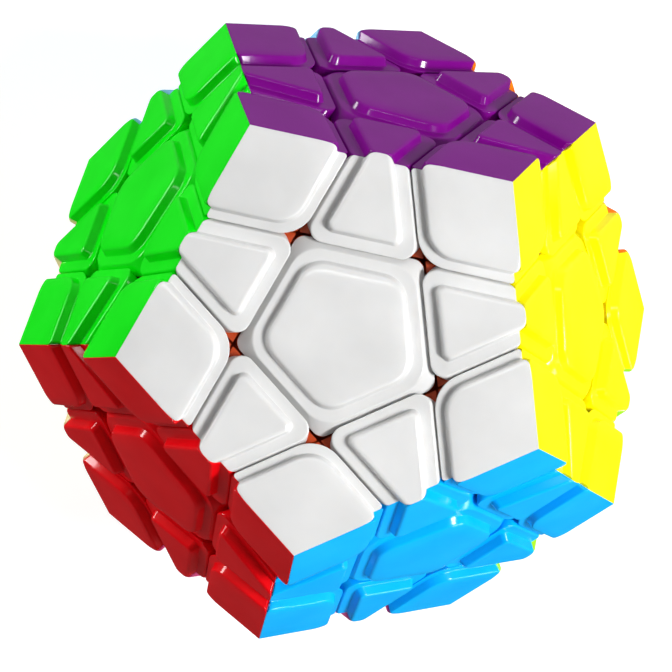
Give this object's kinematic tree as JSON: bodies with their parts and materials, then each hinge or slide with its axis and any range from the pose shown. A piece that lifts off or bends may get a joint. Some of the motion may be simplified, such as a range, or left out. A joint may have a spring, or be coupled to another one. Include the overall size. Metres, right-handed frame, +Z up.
{
  "type": "dodecahedron twisty puzzle",
  "caption": "Stickerless twelve-faced twisty puzzle with sculpted, stepped tiles in one colour per face and layers that turn about a hidden core.",
  "frame": {"origin": "centre of the grey face that the puzzle rests on", "axes": "+Z up through the white face; +Y towards the purple side; +X to the right, between yellow and lime"},
  "size_m": [0.0964, 0.1014, 0.082],
  "materials": {
    "white_plastic": "glossy moulded plastic",
    "purple_plastic": "glossy moulded plastic",
    "yellow_plastic": "glossy moulded plastic",
    "blue_plastic": "glossy moulded plastic",
    "red_plastic": "glossy moulded plastic",
    "green_plastic": "glossy moulded plastic",
    "grey_plastic": "glossy moulded plastic",
    "pink_plastic": "glossy moulded plastic",
    "lime_plastic": "glossy moulded plastic",
    "orange_plastic": "glossy moulded plastic",
    "light_blue_plastic": "glossy moulded plastic",
    "cream_plastic": "glossy moulded plastic",
    "inner_plastic": "satin moulded plastic",
    "screw_steel": "zinc plated",
    "spring_steel": "drawn wire"
  },
  "bodies": {
    "core_assembly": {"core": "inner_plastic", "tension_screws": "screw_steel", "tension_springs": "spring_steel", "spring_washers": "screw_steel", "fixed_centre_hubs": "inner_plastic", "fixed_edge_bases": "inner_plastic", "fixed_corner_bases": "inner_plastic", "purple_centre_cap": "purple_plastic", "purple_tiles": "purple_plastic", "yellow_centre_cap": "yellow_plastic", "yellow_tiles": "yellow_plastic", "blue_centre_cap": "blue_plastic", "blue_tiles": "blue_plastic", "red_centre_cap": "red_plastic", "red_tiles": "red_plastic", "green_centre_cap": "green_plastic", "green_tiles": "green_plastic", "grey_centre_cap": "grey_plastic", "grey_tiles": "grey_plastic", "pink_centre_cap": "pink_plastic", "pink_tiles": "pink_plastic", "orange_centre_cap": "orange_plastic", "orange_tiles": "orange_plastic", "light_blue_centre_cap": "light_blue_plastic", "light_blue_tiles": "light_blue_plastic"},
    "white_layer": {"white_centre_cap": "white_plastic", "white_centre_hub": "inner_plastic", "white_edge_tiles": "white_plastic", "white_corner_tiles": "white_plastic", "white_layer_edge_bases": "inner_plastic", "white_layer_corner_bases": "inner_plastic", "white_layer_purple_tiles": "purple_plastic", "white_layer_yellow_tiles": "yellow_plastic", "white_layer_blue_tiles": "blue_plastic", "white_layer_red_tiles": "red_plastic", "white_layer_green_tiles": "green_plastic"},
    "lime_layer": {"lime_centre_cap": "lime_plastic", "lime_centre_hub": "inner_plastic", "lime_edge_tiles": "lime_plastic", "lime_corner_tiles": "lime_plastic", "lime_layer_edge_bases": "inner_plastic", "lime_layer_corner_bases": "inner_plastic", "lime_layer_yellow_tiles": "yellow_plastic", "lime_layer_blue_tiles": "blue_plastic", "lime_layer_grey_tiles": "grey_plastic", "lime_layer_pink_tiles": "pink_plastic", "lime_layer_orange_tiles": "orange_plastic"},
    "cream_layer": {"cream_centre_cap": "cream_plastic", "cream_centre_hub": "inner_plastic", "cream_edge_tiles": "cream_plastic", "cream_corner_tiles": "cream_plastic", "cream_layer_edge_bases": "inner_plastic", "cream_layer_corner_bases": "inner_plastic", "cream_layer_red_tiles": "red_plastic", "cream_layer_green_tiles": "green_plastic", "cream_layer_grey_tiles": "grey_plastic", "cream_layer_pink_tiles": "pink_plastic", "cream_layer_light_blue_tiles": "light_blue_plastic"}
  },
  "joints": [
    {"name": "white_layer_turn", "type": "hinge", "parent": "core_assembly", "child": "white_layer", "pos_m": [0, 0, 0.041], "axis": [0, 0, 1], "continuous": true},
    {"name": "lime_layer_turn", "type": "hinge", "parent": "core_assembly", "child": "lime_layer", "pos_m": [0, 0, 0.041], "axis": [0.8507, -0.2764, -0.4472], "continuous": true},
    {"name": "cream_layer_turn", "type": "hinge", "parent": "core_assembly", "child": "cream_layer", "pos_m": [0, 0, 0.041], "axis": [-0.8507, -0.2764, -0.4472], "continuous": true}
  ]
}
